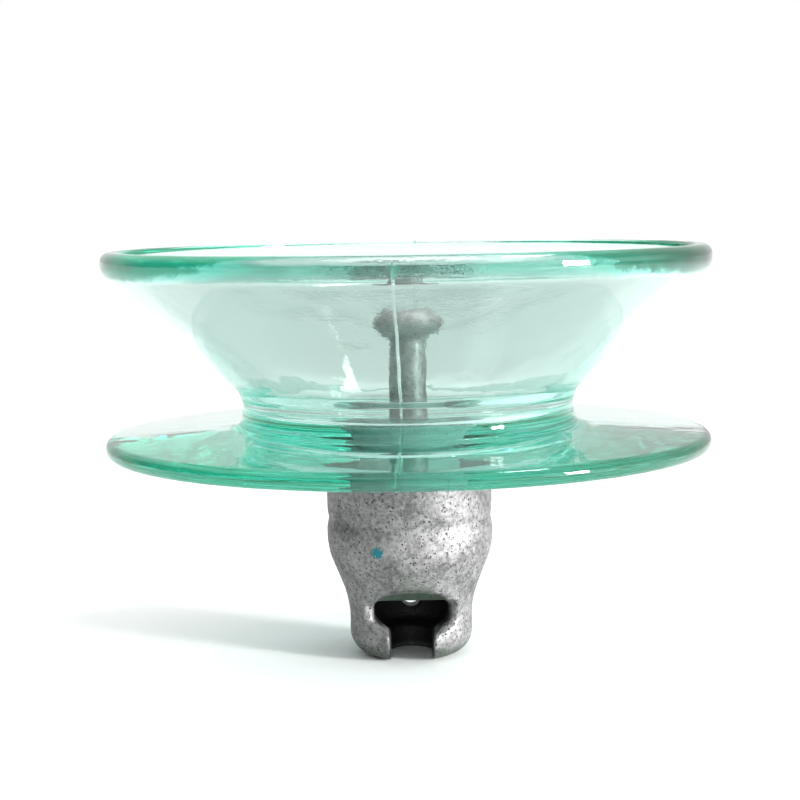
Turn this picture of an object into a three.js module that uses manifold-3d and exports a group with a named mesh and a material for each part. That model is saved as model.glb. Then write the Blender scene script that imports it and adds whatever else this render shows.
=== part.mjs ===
// Cap-and-pin suspension insulator with two sheds of toughened glass, stood on its cap as on a bench.
// Its axis is +Z, the socket's entry faces -Y, and the origin is on the axis under the cap's foot.
// From the middle outwards: the pin in its cement, the glass head round it, then cement and the iron cap.
import * as THREE from "three";
import { mergeVertices } from "three/addons/utils/BufferGeometryUtils.js";
import Module from "manifold-3d";

// Driving sizes, in millimetres.
const SHED_DIAMETER = 280; // the flat shed and the rim of the bell
const COUPLING_LENGTH = 146; // from the seat in the socket to the seat under the ball
const NECK_DIAMETER = 154; // the glass between the two sheds
const BELL_HEIGHT = 85.5; // from the top of the flat shed's edge to the top of the bell's rim
const BELL_WALL_FOOT = 7.6; // the bell's cone where it leaves the neck
const BELL_WALL_TOP = 11; // and under its rim
const SHED_EDGE = 7.6; // thickness of the flat shed at its edge
const FLOOR_GLASS = 22.5; // from the flat shed's underside up to the floor inside the bell
const PIN_DIAMETER = 17.5;
const PIN_HEAD_DIAMETER = 27; // the cone at the buried end
const BALL_DIAMETER = 32.8;
const BALL_HEIGHT = 13.4;
const HEAD_WALL = 11.9; // glass between the pin's cavity and the cap's cement
const CROWN_GLASS = 12.3; // glass under the cavity
const CEMENT_FACE_DIAMETER = 45; // the cement round the pin where it comes out into the bell
const CAP_HEIGHT = 84;
const CAP_WALL = 4.7;
const CAP_CROWN = 9; // iron between the socket and the room for the glass head
const SOCKET_ENTRY = 34.5; // where the ball goes in
const SOCKET_SLOT = 19.2; // where the pin goes in
const SOCKET_WALL = 11.4;
const SOCKET_LIP = 10; // from the foot up to the ball's seat
const SOCKET_ROOM = 19; // from the seat up to the ceiling
const SOCKET_SILL = 5.5; // from the seat up to the entry's sill, which keeps the ball from sliding out
const LOCK_HOLE_DIAMETER = 10.8; // for a locking pin, through the back wall over the ball
const LOCK_HOLE_RISE = 11; // from the ball's seat up to the middle of that hole

// Layers between the metal and the glass, and the gap that every two pieces keep.
const CEMENT = 2.8;
const BITUMEN = 0.6;
const CUSHION = 2.2;
const GAP = 0.3;

// How fine the round shapes are.
const AROUND = 56; // steps round the axis
const ARC_STEP = 0.55; // radians turned by one step of a rounded corner

const wasm = await Module();
wasm.setup();

// ---- Shapes ----

const vector = ([x, y]) => new THREE.Vector2(x, y);

// Half the angle between the two sides that meet at a corner.
function halfAngle(before, corner, after) {
  const back = vector(before).sub(vector(corner)).normalize();
  const on = vector(after).sub(vector(corner)).normalize();
  return Math.acos(THREE.MathUtils.clamp(back.dot(on), -1, 1)) / 2;
}

// Corners [x, y, radius] with their radii cut down where two arcs would meet on the side between them.
function fitted(corners) {
  const taken = corners.map((corner, i) => {
    if (!corner[2] || !corners[i - 1] || !corners[i + 1]) return 0;
    return corner[2] / Math.tan(halfAngle(corners[i - 1], corner, corners[i + 1]));
  });
  return corners.map(([x, y, radius = 0], i) => {
    if (!radius) return [x, y, 0];
    const shares = [i - 1, i].map((side) => {
      const length = vector(corners[side]).distanceTo(vector(corners[side + 1]));
      return length / (taken[side] + taken[side + 1] + GAP);
    });
    return [x, y, radius * Math.min(1, ...shares)];
  });
}

// Corners as an outline, with an arc that meets both sides in place of each corner that has a radius.
function outline(corners) {
  const points = [];
  corners.forEach(([x, y, radius = 0], i) => {
    const corner = new THREE.Vector2(x, y);
    const before = corners[i - 1];
    const after = corners[i + 1];
    if (!radius || !before || !after) {
      points.push(corner);
      return;
    }
    const back = vector(before).sub(corner).normalize();
    const on = vector(after).sub(corner).normalize();
    const half = halfAngle(before, [x, y], after);
    const turn = Math.PI - 2 * half;
    const middle = corner.clone().addScaledVector(back.clone().add(on).normalize(), radius / Math.sin(half));
    const start = corner.clone().addScaledVector(back, radius / Math.tan(half));
    const way = Math.sign(on.cross(back)) || 1;
    const steps = Math.ceil(turn / ARC_STEP);
    for (let k = 0; k <= steps; k++) {
      points.push(start.clone().rotateAround(middle, (way * turn * k) / steps));
    }
  });
  return points;
}

// The same corners moved to the right of the way they run, with their arcs kept concentric.
function beside(corners, distance) {
  const right = (a, b) => {
    const along = vector(b).sub(vector(a)).normalize();
    return new THREE.Vector2(along.y, -along.x);
  };
  return corners.map((corner, i) => {
    const into = right(corners[Math.max(i - 1, 0)], corners[Math.max(i, 1)]);
    const out = right(corners[Math.min(i, corners.length - 2)], corners[Math.min(i + 1, corners.length - 1)]);
    const shift = into.clone().add(out).multiplyScalar(distance / (1 + into.dot(out)));
    const radius = corner[2] ? Math.max(corner[2] + distance * Math.sign(into.cross(out)), GAP) : 0;
    return [corner[0] + shift.x, corner[1] + shift.y, radius];
  });
}

// An outline of radius and height turned round the Z axis. It runs outwards and up round the material.
function turned(points) {
  return new THREE.LatheGeometry(points, AROUND).rotateX(Math.PI / 2);
}

// A ring of material between two runs of corners, both of which run outwards and up.
function layer(outer, inner) {
  const points = [...outline(outer), ...outline(inner).reverse()];
  return turned([...points, points[0].clone()]);
}

// An outline in X and Z pushed from one Y to another.
function pushed(points, fromY, toY) {
  const depth = toY - fromY;
  const shape = new THREE.Shape(points);
  const geometry = new THREE.ExtrudeGeometry(shape, { depth, bevelEnabled: false, steps: 1 });
  return geometry.rotateX(Math.PI / 2).translate(0, toY, 0);
}

function solid(geometry) {
  const bare = geometry.clone();
  bare.deleteAttribute("normal");
  bare.deleteAttribute("uv");
  const merged = mergeVertices(bare, 1e-3);
  return new wasm.Manifold(
    new wasm.Mesh({
      numProp: 3,
      vertProperties: merged.attributes.position.array,
      triVerts: new Uint32Array(merged.index.array),
    }),
  );
}

function geometryOf(manifold) {
  const { vertProperties, triVerts } = manifold.getMesh();
  return new THREE.BufferGeometry()
    .setAttribute("position", new THREE.BufferAttribute(vertProperties, 3))
    .setIndex(new THREE.BufferAttribute(triVerts, 1));
}

// ---- Heights and radii that several pieces share ----

const seatZ = SOCKET_LIP;
const ceilingZ = seatZ + SOCKET_ROOM;
const capFloorZ = ceilingZ + CAP_CROWN;
const liningZ = capFloorZ + GAP + BITUMEN;
const crownZ = liningZ + GAP + CUSHION + GAP; // underside of the glass head
const cavityZ = crownZ + CROWN_GLASS; // bottom of the pin's cavity
const pinZ = cavityZ + GAP + CUSHION + GAP; // the pin's buried end
const ballSeatZ = seatZ + COUPLING_LENGTH;
const ballTopZ = ballSeatZ + BALL_HEIGHT;

const pinRadius = PIN_DIAMETER / 2;
const pinHeadRadius = PIN_HEAD_DIAMETER / 2;
const cavityRadius = pinHeadRadius + GAP + BITUMEN + GAP + CEMENT + GAP;
const headRadius = cavityRadius + HEAD_WALL;
const capRoomRadius = headRadius + GAP + CEMENT + GAP + BITUMEN + GAP;
const capRadius = capRoomRadius + CAP_WALL;
const HEAD_CUSHION_INSET = 12; // from the side of the head in to its cushion's edge
const PIN_CUSHION_INSET = 1;
const cushionRadius = headRadius - HEAD_CUSHION_INSET;
const pinCushionRadius = pinHeadRadius - PIN_CUSHION_INSET;

// ---- Glass shell ----

const SHED_OVER_CAP = 8; // from the cap's rim up to the glass above it
const SHED_RISE = 5.5; // how much higher the flat shed's underside is at its edge than at its root
const SHED_FALL = 3.6; // how much lower its top is at its edge than at its root
const HEAD_WAIST = 1.8; // how much the head narrows towards the cap's mouth, which locks it in the cement
const HEAD_ROUNDING = 11;
const WAIST_DEPTH = 22; // from the cap's rim down to where the head begins to narrow
const WAIST_SLOPE = 10; // how far up it goes on narrowing
const WAIST_ROUNDING = 8;
const SHED_ROOT_ROUNDING = 9;
const SHED_TOP_ROUNDING = 6.5; // where the flat shed meets the neck
const NECK_HEIGHT = 15.5; // from the flat shed up to the cone of the bell
const NECK_WALL = 11;
const NECK_ROUNDING = 20;
const RIM_WIDTH = 11; // the bell's rim
const RIM_HEIGHT = 9.5; // from the top of the cone up to the top of the rim
const RIM_ROUNDINGS = [12, 4.2, 3.2, 4]; // from the cone over the rim to the inside of the bell
const BOWL_ROUNDINGS = [7, 7]; // inside the bell, at the foot of the cone and round the floor
const CAVITY_ROUNDINGS = [6, 12]; // at the bottom and at the mouth of the pin's cavity

const shedRootZ = CAP_HEIGHT + SHED_OVER_CAP;
const shedEdgeZ = shedRootZ + SHED_RISE;
const shedTopZ = shedEdgeZ + SHED_EDGE;
const bowlZ = shedRootZ + FLOOR_GLASS; // floor inside the bell
const rimZ = shedTopZ + BELL_HEIGHT;
const neckRadius = NECK_DIAMETER / 2;
const shedRadius = SHED_DIAMETER / 2;
const waistRadius = headRadius - HEAD_WAIST;
const waistZ = CAP_HEIGHT - WAIST_DEPTH;

const headCorners = fitted([
  [0, crownZ],
  [cushionRadius + GAP, crownZ],
  [headRadius, crownZ, HEAD_ROUNDING],
  [headRadius, waistZ, WAIST_ROUNDING],
  [waistRadius, waistZ + WAIST_SLOPE, WAIST_ROUNDING],
  [waistRadius, shedRootZ, SHED_ROOT_ROUNDING],
  [shedRadius, shedEdgeZ],
]).slice(0, -1);

// Outside of the bell: the neck, the cone and the heavy rounded lower corner of the rim.
const coneTop = [shedRadius, rimZ - RIM_HEIGHT];
const coneFoot = [neckRadius, shedTopZ + SHED_FALL + NECK_HEIGHT];
const cone = vector(coneTop).sub(vector(coneFoot)).normalize();

// Inside of the bell: the height at a radius where the wall over the cone has a certain thickness.
const insideZ = (radius, wall) => coneFoot[1] + ((radius - coneFoot[0]) * cone.y + wall) / cone.x;
const bowlRadius = neckRadius - NECK_WALL;
const bowlTopZ = insideZ(bowlRadius, BELL_WALL_FOOT);
const rimInside = shedRadius - RIM_WIDTH;
const rimInsideZ = insideZ(rimInside, BELL_WALL_TOP);

// The pin's cavity, which opens out at its mouth.
const MOUTH_DEPTH = 14;
const cavityCorners = fitted([
  [0, cavityZ],
  [cavityRadius, cavityZ, CAVITY_ROUNDINGS[0]],
  [cavityRadius, bowlZ - MOUTH_DEPTH, CAVITY_ROUNDINGS[1]],
  [CEMENT_FACE_DIAMETER / 2, bowlZ],
]);
const bell = fitted([
  [waistRadius, shedRootZ],
  [shedRadius, shedEdgeZ, SHED_EDGE / 2],
  [shedRadius, shedTopZ, SHED_EDGE / 2],
  [neckRadius, shedTopZ + SHED_FALL, SHED_TOP_ROUNDING],
  [...coneFoot, NECK_ROUNDING],
  [...coneTop, RIM_ROUNDINGS[0]],
  [shedRadius, rimZ, RIM_ROUNDINGS[1]],
  [rimInside, rimZ, RIM_ROUNDINGS[2]],
  [rimInside, rimInsideZ, RIM_ROUNDINGS[3]],
  [bowlRadius, bowlTopZ, BOWL_ROUNDINGS[0]],
  [bowlRadius, bowlZ, BOWL_ROUNDINGS[1]],
  cavityCorners.at(-1),
]).slice(1, -1);
const glassShell = turned(outline([...headCorners, ...bell, ...cavityCorners.toReversed()]));

// ---- Ball pin ----

const PIN_HEAD_HEIGHT = 8.1;
const PIN_CONE_SLOPE = 2.6; // height of the cone over its head for each millimetre that it narrows
// The ball from its seat to its top: shares of its radius and of its height, and a rounding.
const BALL_OUTLINE = [
  [0.86, 0.08, 1.5],
  [1, 0.36, 4],
  [1, 0.62, 4],
  [0.66, 1, 5],
];
const pinConeFootZ = pinZ + PIN_HEAD_HEIGHT;
const pinConeTopZ = pinConeFootZ + (pinHeadRadius - pinRadius) * PIN_CONE_SLOPE;
const ballRadius = BALL_DIAMETER / 2;
const pinCorners = fitted([
  [0, pinZ],
  [pinHeadRadius, pinZ, 1.5],
  [pinHeadRadius, pinConeFootZ, 2],
  [pinRadius, pinConeTopZ, 5],
  [pinRadius, ballSeatZ, 3.2],
  ...BALL_OUTLINE.map(([across, up, rounding]) => [
    ballRadius * across,
    ballSeatZ + BALL_HEIGHT * up,
    rounding,
  ]),
  [0, ballTopZ],
]);
const ballPin = turned(outline(pinCorners));

// ---- Layers round the pin, inside the glass ----

const FACE_RECESS = 1.2; // from the floor inside the bell down to the cement's face
const pinCementZ = bowlZ - FACE_RECESS;
// The pin's buried surface, from its lower edge up to the cement's face.
const buried = [...pinCorners.slice(1, 4), [pinRadius, pinCementZ]];
const coatInside = beside(buried, GAP);
const coatOutside = beside(buried, GAP + BITUMEN);
const pinCementInside = beside(buried, GAP + BITUMEN + GAP);
for (const corners of [coatInside, coatOutside]) corners[0] = [corners[0][0], pinZ];
pinCementInside[0] = [pinCementInside[0][0], pinZ - GAP];
const pinCoat = layer(coatOutside, coatInside);

const pinCementOutside = beside(cavityCorners, -GAP);
const face = pinCementOutside.pop();
pinCementOutside[0] = [pinCushionRadius + GAP, cavityZ + GAP];
const pinCement = layer(
  [...pinCementOutside, [face[0] - GAP, pinCementZ]],
  [[pinCushionRadius + GAP, pinZ - GAP], ...pinCementInside],
);

const pinCushion = turned([
  new THREE.Vector2(0, cavityZ + GAP),
  new THREE.Vector2(pinCushionRadius, cavityZ + GAP),
  new THREE.Vector2(pinCushionRadius, cavityZ + GAP + CUSHION),
  new THREE.Vector2(0, cavityZ + GAP + CUSHION),
]);

// ---- Layers between the cap and the glass head ----

const MOUTH_LIP = 2.2; // how far the cap's rim reaches in over the cement
const LIP_DEPTH = 8; // from the rim down to where the lip is at its full width
const LIP_FOOT_DEPTH = 16; // and down to where it begins
const MOUTH_RECESS = 3; // from the rim down to the cement and the lining
const mouthRadius = capRoomRadius - MOUTH_LIP;
const mouthZ = CAP_HEIGHT - MOUTH_RECESS;
const capRoom = fitted([
  [0, capFloorZ],
  [capRoomRadius, capFloorZ, 11],
  [capRoomRadius, CAP_HEIGHT - LIP_FOOT_DEPTH, 5],
  [mouthRadius, CAP_HEIGHT - LIP_DEPTH, 4],
  [mouthRadius, mouthZ],
]);

const liningOutside = outline(beside(capRoom, -GAP));
const liningInside = outline(beside(capRoom, -GAP - BITUMEN));
const capLining = turned([...liningOutside, ...liningInside.reverse()]);

const cementRoom = beside(capRoom, -GAP - BITUMEN - GAP);
cementRoom[0] = [cushionRadius + GAP, cementRoom[0][1]];
const roundHead = beside([...headCorners.slice(1, -1), [waistRadius, mouthZ]], GAP);
const capCement = layer(cementRoom, roundHead);

const headCushion = turned([
  new THREE.Vector2(0, liningZ + GAP),
  new THREE.Vector2(cushionRadius, liningZ + GAP),
  new THREE.Vector2(cushionRadius, liningZ + GAP + CUSHION),
  new THREE.Vector2(0, liningZ + GAP + CUSHION),
]);

// ---- Cap ----

const ROOM_CLEARANCE = 0.35; // the room for the ball is this much wider than the entry
const FOOT_ROUNDING = 12;
const SKIRT_DEPTH = 12; // from the rim down to where the skirt's straight part ends
const SHOULDER_STEPS = 10;
// Heights over the ceiling and over the room's floor where the shoulder and its two tangents end.
const SHOULDER_LOW = [-5, 7];
const SHOULDER_HIGH = [2, 20];
const SEAT_DISH = 2.6; // how much the ball's seat rises from the slot to the room's wall
const ENTRY_SLOPE = 0.85; // rise of the entry's shoulders for each millimetre across
// The entry opens out towards the cap's skin: how much wider and taller it is there, and how deep that runs.
const FLARE_WIDER = 1.24;
const FLARE_TALLER = 1.5;
const FLARE_DEPTH = 8;
const PAST = 4; // how far the cuts run past the skin
const entryRadius = SOCKET_ENTRY / 2;
const slotRadius = SOCKET_SLOT / 2;
const ballRoomRadius = entryRadius + ROOM_CLEARANCE;
const socketRadius = entryRadius + SOCKET_WALL;

// Outside: a round foot, the socket's straight wall, then an S-shaped shoulder out to the skirt and its rim.
const shoulder = new THREE.CubicBezierCurve(
  new THREE.Vector2(socketRadius, ceilingZ + SHOULDER_LOW[0]),
  new THREE.Vector2(socketRadius, ceilingZ + SHOULDER_LOW[1]),
  new THREE.Vector2(capRadius, capFloorZ + SHOULDER_HIGH[0]),
  new THREE.Vector2(capRadius, capFloorZ + SHOULDER_HIGH[1]),
);
const footCorners = fitted([
  [0, 0],
  [socketRadius, 0, FOOT_ROUNDING],
  [socketRadius, ceilingZ + SHOULDER_LOW[0] - 1],
]);
const mouthCorners = [
  [capRadius, CAP_HEIGHT - SKIRT_DEPTH],
  [capRadius, CAP_HEIGHT, CAP_WALL / 2],
  [mouthRadius, CAP_HEIGHT, 1.2],
];
const capSkin = turned([
  ...outline(footCorners),
  ...shoulder.getPoints(SHOULDER_STEPS),
  ...outline([...mouthCorners, ...capRoom.slice(0, -1).reverse()]),
]);

// The room for the ball, with its seat dished round the pin's slot.
const ballRoom = turned(
  outline([
    [0, -PAST],
    [slotRadius, -PAST],
    [slotRadius, seatZ, 1.5],
    [ballRoomRadius, seatZ + SEAT_DISH, 2],
    [ballRoomRadius, ceilingZ, 3.5],
    [0, ceilingZ],
  ]),
);

// The entry, as wide as the ball above its sill and as wide as the pin below it.
const sillZ = seatZ + SOCKET_SILL;
const rightOfEntry = [
  [slotRadius, -PAST],
  [slotRadius, sillZ, 1.5],
  [entryRadius, sillZ + (entryRadius - slotRadius) * ENTRY_SLOPE, 3],
  [entryRadius, ceilingZ, 4.5],
  [0, ceilingZ],
];
const leftOfEntry = rightOfEntry.slice(0, -1).map(([x, z, radius]) => [-x, z, radius]).reverse();
const entryOutline = outline([...rightOfEntry, ...leftOfEntry]);
const entry = pushed(entryOutline, -socketRadius - PAST, 0);

const flareBack = -socketRadius + FLARE_DEPTH;
const flareFront = -socketRadius - PAST;
const middle = new THREE.Vector2(0, (sillZ + ceilingZ) / 2);
const opened = entryOutline.map((p) => {
  const out = p.clone().sub(middle).multiply(new THREE.Vector2(FLARE_WIDER, FLARE_TALLER));
  return out.add(middle);
});
const flare = pushed(entryOutline, flareFront, flareBack);
const corner = flare.attributes.position;
for (let i = 0; i < corner.count; i++) {
  if (corner.getY(i) > (flareFront + flareBack) / 2) continue;
  const at = entryOutline.findIndex((p) => Math.hypot(p.x - corner.getX(i), p.y - corner.getZ(i)) < 1e-3);
  corner.setXYZ(i, opened[at].x, corner.getY(i), opened[at].y);
}

const lockHoleZ = seatZ + LOCK_HOLE_RISE;
const lockHoleLength = socketRadius + PAST;
const lockHoleRadius = LOCK_HOLE_DIAMETER / 2;
const lockHole = new THREE.CylinderGeometry(lockHoleRadius, lockHoleRadius, lockHoleLength, 24);
lockHole.translate(0, lockHoleLength / 2, lockHoleZ);

const cap = geometryOf(
  [ballRoom, entry, flare, lockHole].reduce((iron, cut) => iron.subtract(solid(cut)), solid(capSkin)),
);

// ---- Materials and nodes ----

const glass = new THREE.MeshStandardMaterial({ color: 0xbfe6d8, roughness: 0.05, metalness: 0 });
const zinc = new THREE.MeshStandardMaterial({ color: 0xa7a6a4, roughness: 0.55, metalness: 0.8 });
const mortar = new THREE.MeshStandardMaterial({ color: 0x8f8b84, roughness: 0.95, metalness: 0 });
const bitumen = new THREE.MeshStandardMaterial({ color: 0x14130f, roughness: 0.5, metalness: 0 });
const cork = new THREE.MeshStandardMaterial({ color: 0x8a6a48, roughness: 0.9, metalness: 0 });

const insulator = new THREE.Group();
for (const [name, geometry, material] of [
  ["glass_shell", glassShell, glass],
  ["cap", cap, zinc],
  ["ball_pin", ballPin, zinc],
  ["cap_cement", capCement, mortar],
  ["pin_cement", pinCement, mortar],
  ["cap_lining", capLining, bitumen],
  ["pin_coat", pinCoat, bitumen],
  ["head_cushion", headCushion, cork],
  ["pin_cushion", pinCushion, cork],
]) {
  const mesh = new THREE.Mesh(geometry, material);
  mesh.name = name;
  insulator.add(mesh);
}

export default insulator;
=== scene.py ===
import math

import bmesh
import bpy
from mathutils import Matrix, Vector, noise


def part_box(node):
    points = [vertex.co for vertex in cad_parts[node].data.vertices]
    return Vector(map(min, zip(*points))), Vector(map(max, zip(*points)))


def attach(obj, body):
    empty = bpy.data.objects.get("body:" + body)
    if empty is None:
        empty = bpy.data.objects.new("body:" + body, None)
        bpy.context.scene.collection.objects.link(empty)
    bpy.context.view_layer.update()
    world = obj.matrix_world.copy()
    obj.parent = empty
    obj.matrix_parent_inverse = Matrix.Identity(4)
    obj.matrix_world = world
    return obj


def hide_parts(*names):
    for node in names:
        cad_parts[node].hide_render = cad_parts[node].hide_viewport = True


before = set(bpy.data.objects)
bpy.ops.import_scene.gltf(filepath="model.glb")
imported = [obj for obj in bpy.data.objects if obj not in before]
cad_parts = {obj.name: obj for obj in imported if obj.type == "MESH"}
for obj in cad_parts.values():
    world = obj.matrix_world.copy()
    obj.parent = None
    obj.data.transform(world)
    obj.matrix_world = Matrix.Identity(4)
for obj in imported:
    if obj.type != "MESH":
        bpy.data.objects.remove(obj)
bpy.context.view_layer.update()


# ---- Camera ----
# A short telephoto view from the front, a little above the bell's rim and turned a little down. It is
# rolled by the small lean of the unit, which stands on a cap that is not quite square to the glass.

MM = 0.001
SENSOR_WIDTH = 36
FOCAL_LENGTH = 83.6
EYE = Vector((-3.7, -861, 211.4))
TILT_DOWN = math.radians(6.1)
ROLL = math.radians(-0.9)

lens = bpy.data.cameras.new("lens")
lens.sensor_width = SENSOR_WIDTH
lens.lens = FOCAL_LENGTH
camera = bpy.data.objects.new("camera", lens)
camera.matrix_world = (
    Matrix.Translation(EYE * MM)
    @ Matrix.Rotation(math.pi / 2 - TILT_DOWN, 4, "X")
    @ Matrix.Rotation(ROLL, 4, "Z")
)
bpy.context.collection.objects.link(camera)
bpy.context.scene.camera = camera
bpy.context.scene.view_settings.view_transform = "Standard"


# ---- Glass shell ----
# One piece of toughened glass, pressed hot and then quenched. A plunger forms the inside of the bell and
# the pin's cavity, and an outer ring of two halves forms the groove between the sheds: it leaves a fine
# raised seam down the front and the back, from the bell's rim over the neck to the flat shed's edge.

ARC_STEP = math.radians(9)


def rounded(corners):
    """A wire of (radius, height, rounding) corners over the X axis, with arcs for the rounded ones."""
    wire = bmesh.new()
    places = [Vector((corner[0], 0, corner[1])) * MM for corner in corners]
    points = [wire.verts.new(place) for place in places]
    for first, second in zip(points, points[1:]):
        wire.edges.new((first, second))
    for i, corner in enumerate(corners):
        if len(corner) < 3:
            continue
        half = (places[i - 1] - places[i]).angle(places[i + 1] - places[i]) / 2
        turn = math.pi - 2 * half
        bmesh.ops.bevel(
            wire,
            geom=[points[i]],
            offset=corner[2] * MM / math.tan(half),
            offset_type="OFFSET",
            segments=max(2, math.ceil(turn / ARC_STEP)),
            profile=0.5,
            affect="VERTICES",
            material=-1,
            clamp_overlap=False,
        )
    return wire


def divided(wire, longest):
    """The same wire with its long straight runs cut into even lengths."""
    for edge in [e for e in wire.edges if e.calc_length() > longest]:
        cuts = math.ceil(edge.calc_length() / longest) - 1
        bmesh.ops.subdivide_edges(wire, edges=[edge], cuts=cuts)
    return wire


def turned(wire, steps):
    """The wire turned once round the Z axis into a closed solid."""
    bmesh.ops.spin(
        wire,
        geom=wire.verts[:] + wire.edges[:],
        axis=(0, 0, 1),
        cent=(0, 0, 0),
        dvec=(0, 0, 0),
        angle=2 * math.pi,
        steps=steps,
        use_merge=True,
        use_normal_flip=False,
        use_duplicate=False,
    )
    bmesh.ops.remove_doubles(wire, verts=wire.verts[:], dist=1e-6)
    bmesh.ops.recalc_face_normals(wire, faces=wire.faces[:])
    return wire


def shown(name, shape, sharpest=180):
    """A new object from a bmesh, smooth but for edges that turn by more than the sharpest angle."""
    shape.normal_update()
    for face in shape.faces:
        face.smooth = True
    for edge in shape.edges:
        edge.smooth = len(edge.link_faces) == 2 and edge.calc_face_angle(0) < math.radians(sharpest)
    mesh = bpy.data.meshes.new(name)
    shape.to_mesh(mesh)
    shape.free()
    thing = bpy.data.objects.new(name, mesh)
    bpy.context.collection.objects.link(thing)
    return thing


class Socket:
    """A node's output that Python's arithmetic works on, one Math node for each operation."""

    def __init__(self, tree, output):
        self.tree = tree
        self.output = output

    def node(self, kind, settings, inputs, output=0):
        """Adds a node, makes its settings, sets or links its sockets, and gives one of its outputs."""
        made = self.tree.nodes.new(kind)
        for name, setting in settings.items():
            setattr(made, name, setting)
        for name, value in inputs.items():
            if isinstance(value, Socket):
                self.tree.links.new(value.output, made.inputs[name])
            else:
                made.inputs[name].default_value = value
        return Socket(self.tree, made.outputs[output])

    def maths(self, operation, first, second=0.0):
        return self.node("ShaderNodeMath", {"operation": operation}, {0: first, 1: second})

    def __add__(self, other):
        return self.maths("ADD", self, other)

    def __radd__(self, other):
        return self.maths("ADD", other, self)

    def __sub__(self, other):
        return self.maths("SUBTRACT", self, other)

    def __rsub__(self, other):
        return self.maths("SUBTRACT", other, self)

    def __mul__(self, other):
        return self.maths("MULTIPLY", self, other)

    def __rmul__(self, other):
        return self.maths("MULTIPLY", other, self)

    def above(self, low, high):
        """0 under low and 1 over high, softly stepped, or the other way round if low is the higher."""
        return self.node(
            "ShaderNodeMapRange",
            {"interpolation_type": "SMOOTHSTEP"},
            {"Value": self, "From Min": low, "From Max": high},
        )

    def grain(self, size, detail=2.0, roughness=0.5):
        """Noise at these coordinates, with features of about this size in millimetres."""
        return self.node(
            "ShaderNodeTexNoise",
            {},
            {"Vector": self, "Scale": 1 / (size * MM), "Detail": detail, "Roughness": roughness},
        )

    def mixed(self, under, over):
        """A colour: under where this mask is 0, over where it is 1."""
        return self.node(
            "ShaderNodeMix",
            {"data_type": "RGBA", "clamp_factor": True},
            {"Factor": self, 6: under, 7: over},
            output=2,
        )


def material(name):
    """A new material, its Principled shader and the object's own coordinates to paint it by."""
    made = bpy.data.materials.new(name)
    made.use_nodes = True
    tree = made.node_tree
    tree.nodes.clear()
    output = tree.nodes.new("ShaderNodeOutputMaterial")
    shader = tree.nodes.new("ShaderNodeBsdfPrincipled")
    tree.links.new(shader.outputs[0], output.inputs["Surface"])
    coordinates = tree.nodes.new("ShaderNodeTexCoord")
    return made, shader, Socket(tree, coordinates.outputs["Object"])


def dress(shader, looks):
    """Sets or links the shader's sockets."""
    for name, value in looks.items():
        if isinstance(value, Socket):
            value.tree.links.new(value.output, shader.inputs[name])
        else:
            shader.inputs[name].default_value = value


def bumps(here, height, depth):
    """A normal raised by a height mask times a depth in millimetres."""
    return here.node("ShaderNodeBump", {}, {"Height": height, "Distance": depth * MM, "Strength": 1.0})


def parts_of(here):
    """The three coordinates, in millimetres, and the distance from the axis."""
    x, y, z = (here.node("ShaderNodeSeparateXYZ", {}, {0: here}, i) * (1 / MM) for i in range(3))
    return x, y, z, here.maths("SQRT", x * x + y * y)


shell_low, shell_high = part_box("glass_shell")
SHED = shell_high.x / MM  # radius of both sheds
RIM = shell_high.z / MM  # top of the bell
CROWN = shell_low.z / MM  # underside of the head
HEAD = 29.7  # radius of the head in the cap
HEAD_TOP = 61.9
WAIST = 27.9  # radius where the head meets the shed
WAIST_FOOT = 71.9
ROOT = 92.0  # the flat shed's underside at its root
EDGE = 97.5  # and at its edge
EDGE_TOP = 105.1
NECK = 77.0  # radius between the sheds
RIM_INSIDE = 131.5  # radius of the bell's mouth, which is upright at the lip
BOWL = 66.0  # radius of the bell's floor
FLOOR = 114.5  # height of the bell's floor
CAVITY = 17.8  # radius of the pin's cavity
CAVITY_FLOOR = 54.0
CAVITY_TOP = 100.5
CEMENT_FACE = 22.5  # radius of the cavity's mouth
AROUND = 288  # steps in a turn
LONGEST = 3 * MM
WAVES = 0.09  # how far the pressed faces wander, in millimetres
PURE_GLASS = (0.75, 0.79, 0.77, 1)
GREEN_DEPTH = (0.06, 0.815, 0.7, 1)
DEPTH_PER_METRE = 12.5

glass_section = [
    (0, CROWN),
    (HEAD, CROWN, 12),
    (HEAD, HEAD_TOP, 8),
    (WAIST, WAIST_FOOT, 8),
    (WAIST, ROOT, 9),
    (SHED, EDGE, 3.7),
    (SHED, EDGE_TOP, 3.7),
    (NECK, 108.7, 6.5),
    (NECK, 124.2, 12),
    (SHED, 181.1, 8),
    (SHED, RIM, 4.4),
    (RIM_INSIDE, RIM, 1.5),
    (RIM_INSIDE, 186.8, 2.5),
    (BOWL, 124.3, 6),
    (BOWL, FLOOR, 5),
    (CEMENT_FACE, FLOOR, 0.8),
    (CAVITY, CAVITY_TOP, 12),
    (CAVITY, CAVITY_FLOOR, 5.8),
    (0, CAVITY_FLOOR),
]
shell = turned(divided(rounded(glass_section), LONGEST), AROUND)

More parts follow.
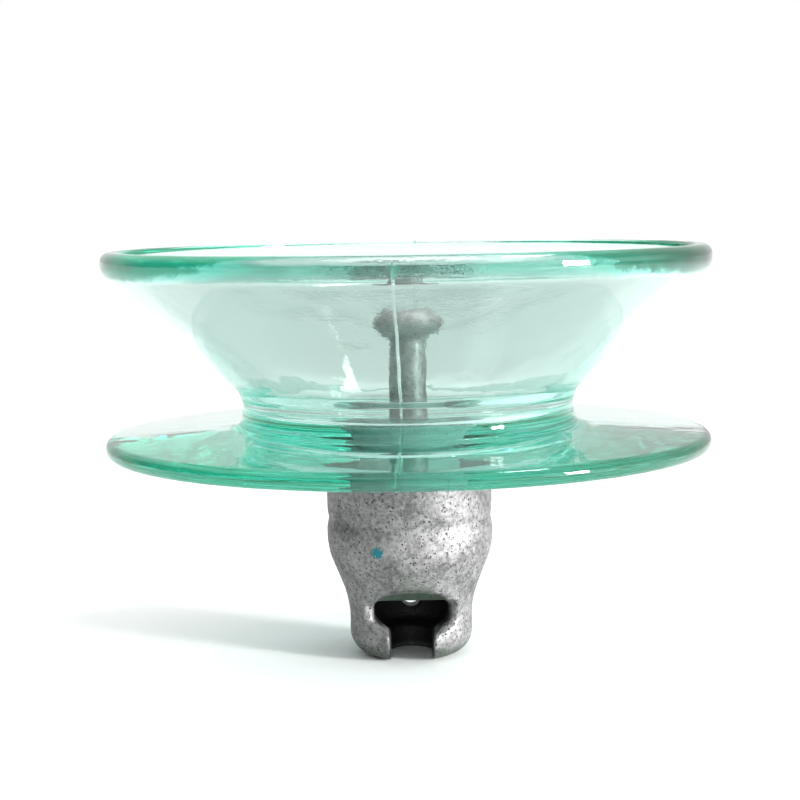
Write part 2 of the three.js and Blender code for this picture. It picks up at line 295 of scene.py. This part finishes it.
# The seam stands on the groove's faces alone, which all look outwards, above the flat shed's edge.
SEAM_TURN = math.radians(-2.4)
SEAM_HEIGHT = 0.3 * MM
SEAM_WIDTH = 0.22 * MM
SEAM_FOOT = 99 * MM
SEAM_TOP = 188 * MM
SEAM_INNERMOST = 70 * MM
SEAM_DRIFT = 0.9 * MM  # how far the seam strays from its plane
DRIFT_REACH = 12 * MM
SEAM_LINES = [-0.9, -0.35, -0.15, 0, 0.15, 0.35, 0.9]  # where the ridge's shape is held, from its middle
across_seam = Vector((math.cos(SEAM_TURN), math.sin(SEAM_TURN), 0))
for line in SEAM_LINES:
    bmesh.ops.bisect_plane(
        shell,
        geom=shell.verts[:] + shell.edges[:] + shell.faces[:],
        dist=1e-7,
        plane_co=across_seam * line * MM,
        plane_no=across_seam,
    )
shell.normal_update()
moves = []
for vert in shell.verts:
    place = vert.co
    radial = Vector((place.x, place.y, 0))
    radius = radial.length
    slow = noise.noise(place * 32) + 0.4 * noise.noise(place * 75)
    move = vert.normal * slow * WAVES * MM
    looks_out = vert.normal.dot(radial) > 0.03 * radius
    aside = place.dot(across_seam)
    on_groove = radius > SEAM_INNERMOST and SEAM_FOOT < place.z < SEAM_TOP
    if looks_out and on_groove and abs(aside) < DRIFT_REACH:
        ridge = math.exp(-((aside / SEAM_WIDTH) ** 2))
        uneven = 0.8 + 0.5 * noise.noise(place * 140)
        move += vert.normal * ridge * uneven * SEAM_HEIGHT
        drift = SEAM_DRIFT * noise.noise(Vector((0, 0, radius * 55 + place.z * 20)))
        move += across_seam * drift * max(0, 1 - abs(aside) / DRIFT_REACH) ** 2
    moves.append((vert, move))
for vert, move in moves:
    vert.co += move

glass_shell = shown("shell_of_glass", shell)

glass, shader, here = material("toughened_glass")
z = parts_of(here)[2]
chilled = z.above(128, 166)  # the bell's skin cooled first in the mould and took its grain
ripple = here.grain(16, 1.0) + here.grain(3.5, 0.0) * 0.06 + here.grain(1.3, 1.0) * chilled * 0.16
dress(
    shader,
    {
        "Base Color": PURE_GLASS,
        "Roughness": 0.012,
        "IOR": 1.52,
        "Transmission Weight": 1.0,
        "Normal": bumps(here, ripple, 0.12),
    },
)
depth_tint = glass.node_tree.nodes.new("ShaderNodeVolumeAbsorption")
depth_tint.inputs["Color"].default_value = GREEN_DEPTH
depth_tint.inputs["Density"].default_value = DEPTH_PER_METRE
glass.node_tree.links.new(
    depth_tint.outputs["Volume"], glass.node_tree.nodes["Material Output"].inputs["Volume"]
)
glass_shell.data.materials.append(glass)
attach(glass_shell, "root")
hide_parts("glass_shell")


# ---- Cap ----
# Malleable iron, cast in sand and dipped in zinc. Its foot is the socket: the ball of the next unit's pin
# goes in through the entry in front, drops behind the sill, and a locking pin through the back holds it.

CAP_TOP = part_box("cap")[1].z / MM
SOCKET = 28.7  # outside radius of the socket
ROOM = 17.6  # radius of the room for the ball
CEILING = 29.0
SEAT = 10.0
SLOT = 9.6  # half the slot's width
ENTRY = 17.25  # half the entry's width
SILL = 14.2
LOCK_HOLE = 4.5
LOCK_HOLE_HEIGHT = 21.9
CAP_ROOM = 34.0  # inside radius of the cup that holds the glass head
CAP_FLOOR = 38.0
CAP_ROOM_TOP = 68.0
MOUTH = 31.8  # inside radius at the cup's top
MOUTH_FOOT = 76.0
VOXEL = 0.75 * MM
ZINC_DARK = (0.12, 0.118, 0.12, 1)
ZINC_LIGHT = (0.37, 0.365, 0.365, 1)
ZINC_GRIT = (0.07, 0.07, 0.07, 1)
# Green patina; over the arch's underside the same colour also stands in as painted shade.
GREEN_PATINA_AND_SHADE = (0.085, 0.125, 0.09, 1)
PIT_BLACK = (0.015, 0.015, 0.015, 1)
# Painted shade: near-black colour laid on the socket's hollow room, entry and slot in place of the shade
# inside them.
ROOM_PAINTED_SHADE = (0.01, 0.01, 0.011, 1)
ROOM_RUBBED = (0.12, 0.12, 0.12, 1)
PAINT_SPOT = (-15.1, -35.5, 53.7)  # a drop of marking paint on the cap's front
PAINT = (0.03, 0.2, 0.25, 1)

cap_section = [
    (0, 0),
    (SOCKET, 0, 11.5),
    (SOCKET, 25.8, 34),
    (38.8, 51, 26),
    (38.8, 61, 2.5),
    (37.9, 65, 3),
    (38.6, 68.5, 4),
    (38.6, CAP_TOP, 2.2),
    (MOUTH, CAP_TOP, 1.2),
    (MOUTH, MOUTH_FOOT, 4),
    (CAP_ROOM, CAP_ROOM_TOP, 5),
    (CAP_ROOM, CAP_FLOOR, 11),
    (0, CAP_FLOOR),
]
room_section = [
    (0, -2),
    (SLOT, -2),
    (SLOT, SEAT, 1.5),
    (ROOM, SEAT + 2.6, 2),
    (ROOM, CEILING, 3.5),
    (0, CEILING),
]


def opening(stations, bent):
    """A cutter for the ball's way in, from rings of its outline that stand one behind another along -Y.

    A station gives a ring's distance out and how much wider than the ball's room, higher than the ceiling
    and wider than the slot it is. A bent ring keeps that distance from the axis all round.
    """
    cut = bmesh.new()
    for out, wider, higher, slot_wider in stations:
        slot, wide, high = SLOT + slot_wider, ENTRY + wider, CEILING + higher
        drop = wider * 0.4
        side = [
            (0, -3),
            (slot, -3),
            (slot, SILL - drop, 2),
            (wide, SILL + 4.8 - drop, 3),
            (wide, high, 4.2),
            (0, high),
        ]
        ring = rounded(side)
        bmesh.ops.mirror(ring, geom=ring.verts[:] + ring.edges[:], axis="X", merge_dist=1e-6)
        for vert in ring.verts:
            vert.co.y = -math.sqrt((out * MM) ** 2 - vert.co.x**2) if bent else -out * MM
        loop = bpy.data.meshes.new("ring")
        ring.to_mesh(loop)
        ring.free()
        known = set(cut.edges)
        cut.from_mesh(loop)
        bpy.data.meshes.remove(loop)
        added = [e for e in cut.edges if e not in known]
        if known:
            bmesh.ops.bridge_loops(cut, edges=last + added)
        else:
            bmesh.ops.edgeloop_fill(cut, edges=added)
        last = added
    bmesh.ops.edgeloop_fill(cut, edges=last)
    bmesh.ops.recalc_face_normals(cut, faces=cut.faces[:])
    return cut


def hole_cut(radius, height, start, stop):
    """A round hole along Y."""
    hole = bmesh.new()
    bmesh.ops.create_cone(
        hole,
        cap_ends=True,
        segments=48,
        radius1=radius * MM,
        radius2=radius * MM,
        depth=(stop - start) * MM,
    )
    bmesh.ops.rotate(hole, verts=hole.verts[:], matrix=Matrix.Rotation(math.pi / 2, 3, "X"))
    bmesh.ops.translate(hole, verts=hole.verts[:], vec=(0, (start + stop) / 2 * MM, height * MM))
    return hole


def settled(thing, *modifiers):
    """The mesh that an object has once these modifiers are worked out."""
    for kind, settings in modifiers:
        modifier = thing.modifiers.new(kind.lower(), kind)
        for name, setting in settings.items():
            setattr(modifier, name, setting)
    seen = thing.evaluated_get(bpy.context.evaluated_depsgraph_get())
    mesh = bpy.data.meshes.new_from_object(seen)
    thing.modifiers.clear()
    thing.data = mesh
    return thing


# The entry's edge is rounded where it meets the skin: widely at the sides, hardly at all along the slot.
EDGE_ROUNDING = 6.0
ROUNDING = []
for part in (0, 0.3, 0.5, 0.68, 0.82, 0.95):
    over = 1 - math.sqrt(1 - part**2)
    ROUNDING.append((SOCKET - EDGE_ROUNDING * (1 - part), EDGE_ROUNDING * over, 0.6 * over, 1.6 * over))
ROUNDING.append((SOCKET + 6, *ROUNDING[-1][1:]))

cap = shown("cap_casting", turned(divided(rounded(cap_section), 4 * MM), 144))
cuts = [
    shown("cut_room", turned(rounded(room_section), 96)),
    shown("cut_entry", opening([(1, 0, 0, 0), (34, 0, 0, 0)], bent=False)),
    shown("cut_rounding", opening(ROUNDING, bent=True)),
    shown("cut_arch", opening([(22, -0.2, -0.2, -0.2), (34, 0.3, 8, -0.2)], bent=False)),
    shown("cut_lock_hole", hole_cut(LOCK_HOLE, LOCK_HOLE_HEIGHT, 2, 34)),
]
for cut in cuts:
    settled(cap, ("BOOLEAN", {"operation": "DIFFERENCE", "solver": "EXACT", "object": cut}))
    bpy.data.objects.remove(cut)
settled(
    cap,
    ("REMESH", {"mode": "VOXEL", "voxel_size": VOXEL}),
    ("SMOOTH", {"factor": 0.5, "iterations": 6}),
)

casting = bmesh.new()
casting.from_mesh(cap.data)
casting.normal_update()
moves = []
for vert in casting.verts:
    lumps = 0.16 * noise.noise(vert.co * 90) + 0.05 * noise.noise(vert.co * 330)
    moves.append(vert.normal * lumps * MM)
for vert, move in zip(casting.verts, moves):
    vert.co += move
bpy.data.objects.remove(cap)
cap = shown("cap_casting", casting)


def near(here, place, reach):
    """1 at a place and 0 farther from it than its reach, both in millimetres."""
    settings = {"operation": "DISTANCE"}
    away = here.node("ShaderNodeVectorMath", settings, {0: here, 1: Vector(place) * MM}, output=1)
    return away.above(reach * MM, 0)


def cells(here, size):
    """How far each point is from the middle of its cell, for cells of about this size in millimetres."""
    return here.node(
        "ShaderNodeTexVoronoi", {}, {"Vector": here, "Scale": 1 / (size * MM)}, output="Distance"
    )


zinc_iron, shader, here = material("galvanised_iron")
x, y, z, radius = parts_of(here)
cloud = here.grain(14, 4.0, 0.6)
mottle = here.grain(2.2, 3.0, 0.65)
fine = here.grain(0.6, 2.0, 0.7)
pit_cells = cells(here, 2.1)
pits = pit_cells.above(0.28, 0.14) * here.grain(7, 2.0).above(0.46, 0.56)
specks = here.grain(0.9, 1.0).above(0.64, 0.7)
grey = (cloud * 0.45 + mottle * 0.55).above(0.34, 0.66).mixed(ZINC_DARK, ZINC_LIGHT)
grey = (fine.above(0.5, 0.34) * 0.22).mixed(grey, ZINC_GRIT)
# The down-facing underside of the arch is coloured dark green: partly patina, partly painted shade.
arch_patina_and_shade = radius.above(30.4, 29.0) * z.above(28.6, 29.6) * z.above(36, 35)
over_entry = near(here, (0, -29, 35), 16) * z.above(28, 32) * cloud.above(0.3, 0.55)
on_foot = z.above(8.5, 3) * cloud.above(0.3, 0.5)
grey = (over_entry * 0.6 + on_foot * 0.75 + arch_patina_and_shade * 0.85).mixed(grey, GREEN_PATINA_AND_SHADE)
grey = (pits + specks * 0.8).mixed(grey, PIT_BLACK)
across = here.maths("ABSOLUTE", x)
# The socket's room, entry and slot get painted shade: near black with no metallic sheen, and a real
# rubbed patch where the ball bears.
in_room = radius.above(19.8, 18.2)
in_entry = across.above(18.4, 17.8) * radius.above(24.5, 23) * z.above(15, 17)
in_slot = across.above(10.9, 10.2) * radius.above(27.6, 26.4)
hidden = in_room.maths("MAXIMUM", in_room, in_room.maths("MAXIMUM", in_entry, in_slot))
painted_room_shade = hidden * z.above(1.0, 3.0) * z.above(29.9, 29.2)
rubbed = near(here, (0, 17, 16), 7) * here.grain(1.2, 2.0).above(0.5, 0.7)
grey = painted_room_shade.mixed(grey, (rubbed * 0.5).mixed(ROOM_PAINTED_SHADE, ROOM_RUBBED))
splash = near(here, PAINT_SPOT, 5) + (here.grain(1.3, 2.0) - 0.5) * 1.6
grey = (splash.above(0.42, 0.5) * near(here, PAINT_SPOT, 6).above(0.05, 0.3)).mixed(grey, PAINT)
dress(
    shader,
    {
        "Base Color": grey,
        "Metallic": (painted_room_shade + pits).above(1, 0) * 0.8,
        "Roughness": 0.42 + cloud * 0.15 + mottle * 0.2,
        "Normal": bumps(here, mottle * 0.6 + fine * 0.25 - pits * 1.5 - specks * 0.6, 0.28),
    },
)
cap.data.materials.append(zinc_iron)
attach(cap, "root")
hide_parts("cap")


# ---- Ball pin ----
# Forged steel, dipped in zinc. The cone at its lower end is locked in the cement, and the ball at its
# upper end goes into the next unit's socket.

pin_low, pin_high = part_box("ball_pin")
PIN_TOP = pin_high.z / MM
PIN_FOOT = pin_low.z / MM
PIN = 8.75  # radius of the shank
BALL = pin_high.x / MM
BALL_SEAT = PIN_TOP - 13.4
FLARE = 13.5  # radius of the cone's foot
FLARE_FOOT = 64.9
FLARE_TOP = 77.3
STEEL_DARK = (0.22, 0.21, 0.21, 1)
STEEL_LIGHT = (0.5, 0.48, 0.475, 1)
STEEL_SPECK = (0.05, 0.045, 0.04, 1)
CEMENT_DUST = (0.4, 0.385, 0.36, 1)
pin_section = [
    (0, PIN_FOOT),
    (FLARE, PIN_FOOT, 1.5),
    (FLARE, FLARE_FOOT, 2),
    (PIN, FLARE_TOP, 8),
    (PIN, BALL_SEAT + 0.4, 3.4),
    (BALL * 0.84, BALL_SEAT + 0.9, 1.6),
    (BALL, BALL_SEAT + 5, 4.5),
    (BALL, BALL_SEAT + 8.2, 4.5),
    (BALL * 0.64, PIN_TOP, 5),
    (0, PIN_TOP),
]
pin = turned(divided(rounded(pin_section), 2.5 * MM), 96)
pin.normal_update()
moves = [v.normal * 0.09 * MM * noise.noise(v.co * 160) for v in pin.verts]
for vert, move in zip(pin.verts, moves):
    if vert.co.z < (PIN_TOP - 0.6) * MM:
        vert.co += move
pin = shown("pin_forging", pin)

zinc_steel, shader, here = material("galvanised_steel")
z = parts_of(here)[2]
cloud = here.grain(9, 4.0, 0.6)
mottle = here.grain(1.6, 3.0, 0.65)
steel = (cloud * 0.5 + mottle * 0.5).above(0.3, 0.7).mixed(STEEL_DARK, STEEL_LIGHT)
specks = here.grain(0.8, 1.0).above(0.62, 0.7)
steel = specks.mixed(steel, STEEL_SPECK)
dusty = z.above(124, 113.5) * mottle.above(0.3, 0.7)
steel = (dusty * 0.5).mixed(steel, CEMENT_DUST)
dress(
    shader,
    {
        "Base Color": steel,
        "Metallic": 0.8,
        "Roughness": 0.36 + mottle * 0.25,
        "Normal": bumps(here, mottle * 0.5 + cloud * 0.5 - specks, 0.2),
    },
)
pin.data.materials.append(zinc_steel)
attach(pin, "root")
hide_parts("ball_pin")


# ---- Cements ----
# Neat cement mortar, poured and steam-cured: one ring between the glass head and the cap, one between the
# pin and the wall of its cavity. Both are keyed to the glass, so they bite into it by a hair here.

BITE = 0.06
COAT = 0.6  # thickness of the bitumen under the mortar
PIN_BED = 13.0  # radius of the cushion's place under the pin
HEAD_BED = 18.2  # and under the glass head
HEAD_BED_DEPTH = 2.5
RING_TOP = 81.2
MORTAR_DARK = (0.55, 0.54, 0.52, 1)
MORTAR_LIGHT = (0.82, 0.81, 0.79, 1)
MORTAR_VOID = (0.07, 0.065, 0.06, 1)
pin_mortar_section = [
    (PIN_BED, CAVITY_FLOOR - BITE),
    (CAVITY + BITE, CAVITY_FLOOR - BITE, 5.8),
    (CAVITY + BITE, CAVITY_TOP, 12),
    (CEMENT_FACE + BITE - 0.2, FLOOR - 0.7),
    (CEMENT_FACE - 2.4, FLOOR - 1.5, 2),
    (PIN + 2.6, FLOOR - 1.4, 2),
    (PIN + COAT - 0.1, FLOOR - 0.8),
    (PIN + COAT - 0.1, FLARE_TOP, 8),
    (FLARE + COAT - 0.1, FLARE_FOOT, 2),
    (FLARE + COAT - 0.1, PIN_FOOT - 0.3),
    (PIN_BED, PIN_FOOT - 0.3),
    (PIN_BED, CAVITY_FLOOR - BITE),
]
cap_mortar_section = [
    (HEAD_BED, CROWN - HEAD_BED_DEPTH),
    (CAP_ROOM - COAT, CROWN - HEAD_BED_DEPTH, 10.4),
    (CAP_ROOM - COAT, CAP_ROOM_TOP + 0.2, 5),
    (MOUTH - COAT, MOUTH_FOOT + 0.2, 4),
    (MOUTH - COAT, RING_TOP - 0.5),
    (MOUTH - 1.5, RING_TOP, 0.5),
    (WAIST + 1.0, RING_TOP, 0.6),
    (WAIST - BITE, RING_TOP + 0.6),
    (WAIST - BITE, WAIST_FOOT, 8),
    (HEAD - BITE, HEAD_TOP, 8),
    (HEAD - BITE, CROWN + BITE, 12),
    (HEAD_BED, CROWN + BITE),
    (HEAD_BED, CROWN - HEAD_BED_DEPTH),
]


def mortar_ring(name, section, node):
    """A ring of mortar from its section, a little rough where it was struck off."""
    ring = turned(divided(rounded(section), 2 * MM), 128)
    ring.normal_update()
    top = max(v.co.z for v in ring.verts)
    struck = [v for v in ring.verts if v.co.z > top - 2 * MM]
    moves = [v.normal * 0.22 * MM * noise.noise(v.co * 260) for v in struck]
    for vert, move in zip(struck, moves):
        vert.co += move
    made = shown(name, ring, 50)
    made.data.materials.append(mortar)
    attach(made, "root")
    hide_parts(node)
    return made


mortar, shader, here = material("cement_mortar")
sand = here.grain(0.7, 2.0, 0.7)
blotch = here.grain(5, 3.0, 0.6)
tone = (sand * 0.45 + blotch * 0.55).above(0.3, 0.72).mixed(MORTAR_DARK, MORTAR_LIGHT)
voids = here.grain(1.5, 1.0).above(0.68, 0.75)
tone = voids.mixed(tone, MORTAR_VOID)
dress(
    shader,
    {
        "Base Color": tone,
        "Roughness": 0.8 + sand * 0.15,
        "Normal": bumps(here, sand * 0.6 + blotch * 0.4 - voids, 0.35),
    },
)
mortar_ring("pin_mortar", pin_mortar_section, "pin_cement")
mortar_ring("cap_mortar", cap_mortar_section, "cap_cement")


# ---- Bitumen coats ----
# Painted on the inside of the cap and on the buried part of the pin before the cement is poured, so that
# the metal can slip a little as it warms. A little of each shows where the cement ends.

TAR_BLACK = (0.006, 0.006, 0.006, 1)
TAR_BROWN = (0.03, 0.027, 0.024, 1)
LAP = 0.05  # how far a coat bites into the metal it is painted on

tar, shader, here = material("bitumen")
drips = here.grain(3, 3.0, 0.6)
dress(
    shader,
    {
        "Base Color": drips.above(0.35, 0.7).mixed(TAR_BLACK, TAR_BROWN),
        "Roughness": 0.25 + drips * 0.3,
        "Normal": bumps(here, drips, 0.3),
    },
)


def coat(name, section, node):
    """A thin coat of bitumen from its section, with a brushed upper edge."""
    ring = turned(divided(rounded(section), 2 * MM), 128)
    top = max(v.co.z for v in ring.verts)
    for vert in ring.verts:
        if vert.co.z > top - 0.5 * MM:
            vert.co.z += 0.5 * MM * noise.noise(vert.co.xyz * 120)
    made = shown(name, ring, 50)
    made.data.materials.append(tar)
    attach(made, "root")
    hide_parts(node)
    return made


coat(
    "pin_bitumen",
    [
        (FLARE, PIN_FOOT),
        (FLARE + COAT, PIN_FOOT),
        (FLARE + COAT, FLARE_FOOT, 2.3),
        (PIN + COAT, FLARE_TOP, 7.6),
        (PIN + COAT, FLOOR - 0.2),
        (PIN - LAP, FLOOR + 0.6),
        (PIN - LAP, FLARE_TOP, 8),
        (FLARE - LAP, FLARE_FOOT, 2),
        (FLARE, PIN_FOOT),
    ],
    "pin_coat",
)
coat(
    "cap_bitumen",
    [
        (0, CAP_FLOOR - LAP),
        (CAP_ROOM + LAP, CAP_FLOOR - LAP, 11),
        (CAP_ROOM + LAP, CAP_ROOM_TOP, 5),
        (MOUTH + LAP, MOUTH_FOOT, 4),
        (MOUTH + LAP, RING_TOP + 0.4),
        (MOUTH - COAT, RING_TOP + 0.1),
        (MOUTH - COAT, MOUTH_FOOT + 0.2, 4),
        (CAP_ROOM - COAT, CAP_ROOM_TOP + 0.2, 5),
        (CAP_ROOM - COAT, CAP_FLOOR + COAT, 10.4),
        (0, CAP_FLOOR + COAT),
    ],
    "cap_lining",
)


# ---- Cushions ----
# Discs punched from sheet cork, one under the pin's head and one under the glass head. They take up the
# end thrust when the metal grows, and neither shows from outside.

CORK_DARK = (0.16, 0.085, 0.04, 1)
CORK_LIGHT = (0.42, 0.28, 0.16, 1)

cork, shader, here = material("sheet_cork")
granules = cells(here, 2.4)
grains = here.grain(1.1, 3.0, 0.6)
dress(
    shader,
    {
        "Base Color": (granules * 0.6 + grains * 0.5).above(0.2, 0.8).mixed(CORK_DARK, CORK_LIGHT),
        "Roughness": 0.85,
        "Normal": bumps(here, granules * 0.5 + grains * 0.5, 0.3),
    },
)
for node in ("head_cushion", "pin_cushion"):
    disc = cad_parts[node]
    disc.data.materials.clear()
    disc.data.materials.append(cork)


# ---- Floor and light ----
# A plain pale floor under a studio sky, with one low window to the right and a strip overhead. Light runs
# a long way inside the flat shed, from face to face, so the rays may take many turns.

FLOOR_RADIUS = 60  # in metres, so that its edge lies on the horizon
FLOOR_WHITE = (0.93, 0.93, 0.93, 1)
MOST_TURNS = 40
SKY = 0.88
OVERHEAD = 0.5
LEFT_SHADE = 0.8
RIGHT_GLOW = 1.6

floor_disc = bmesh.new()
bmesh.ops.create_circle(floor_disc, cap_ends=True, segments=128, radius=FLOOR_RADIUS)
floor = shown("floor", floor_disc)
pale, shader, here = material("pale_floor")
dress(shader, {"Base Color": FLOOR_WHITE, "Roughness": 1.0, "Specular IOR Level": 0.0})
floor.data.materials.append(pale)

sky = bpy.data.worlds.new("studio_sky")
sky.use_nodes = True
sky.node_tree.nodes.clear()
way = sky.node_tree.nodes.new("ShaderNodeTexCoord")
way = Socket(sky.node_tree, way.outputs["Generated"])
to_right, to_back, upward = (way.node("ShaderNodeSeparateXYZ", {}, {0: way}, i) for i in range(3))
# The studio is white all round but for its dark left side, and brightest overhead and low on the right.
dark = to_right.above(-0.05, -0.5) * upward.above(0.75, 0.3) * to_back.above(0.8, 0.3)
lit = to_right.above(0.45, 0.85) * upward.above(0.5, 0.25) * to_back.above(0.55, 0.0)
level = SKY + upward.above(0.35, 0.8) * OVERHEAD - dark * LEFT_SHADE + lit * RIGHT_GLOW
seen = way.node("ShaderNodeLightPath", {}, {}, output="Is Camera Ray")
glow = level + seen * (1.0 - level)
tone = way.node("ShaderNodeCombineColor", {}, {0: glow, 1: glow, 2: glow})
background = way.node("ShaderNodeBackground", {}, {"Color": tone, "Strength": 1.0})
world_output = sky.node_tree.nodes.new("ShaderNodeOutputWorld")
sky.node_tree.links.new(background.output, world_output.inputs["Surface"])
bpy.context.scene.world = sky
rays = bpy.context.scene.cycles
rays.max_bounces = rays.transmission_bounces = rays.glossy_bounces = MOST_TURNS


def window(name, size, power, place, target):
    """A soft rectangular light that faces a target."""
    light = bpy.data.lights.new(name, "AREA")
    light.shape = "RECTANGLE"
    light.size, light.size_y = size
    light.energy = power
    lamp = bpy.data.objects.new(name, light)
    lamp.location = place
    lamp.rotation_euler = (Vector(target) - Vector(place)).to_track_quat("-Z", "Y").to_euler()
    bpy.context.collection.objects.link(lamp)


window("right_window", (0.3, 0.5), 62, (1.5, -0.85, 0.32), (0, 0, 0.05))
window("overhead_strip", (0.45, 0.3), 12, (0.68, 0.1, 1.75), (0, 0, 0.15))
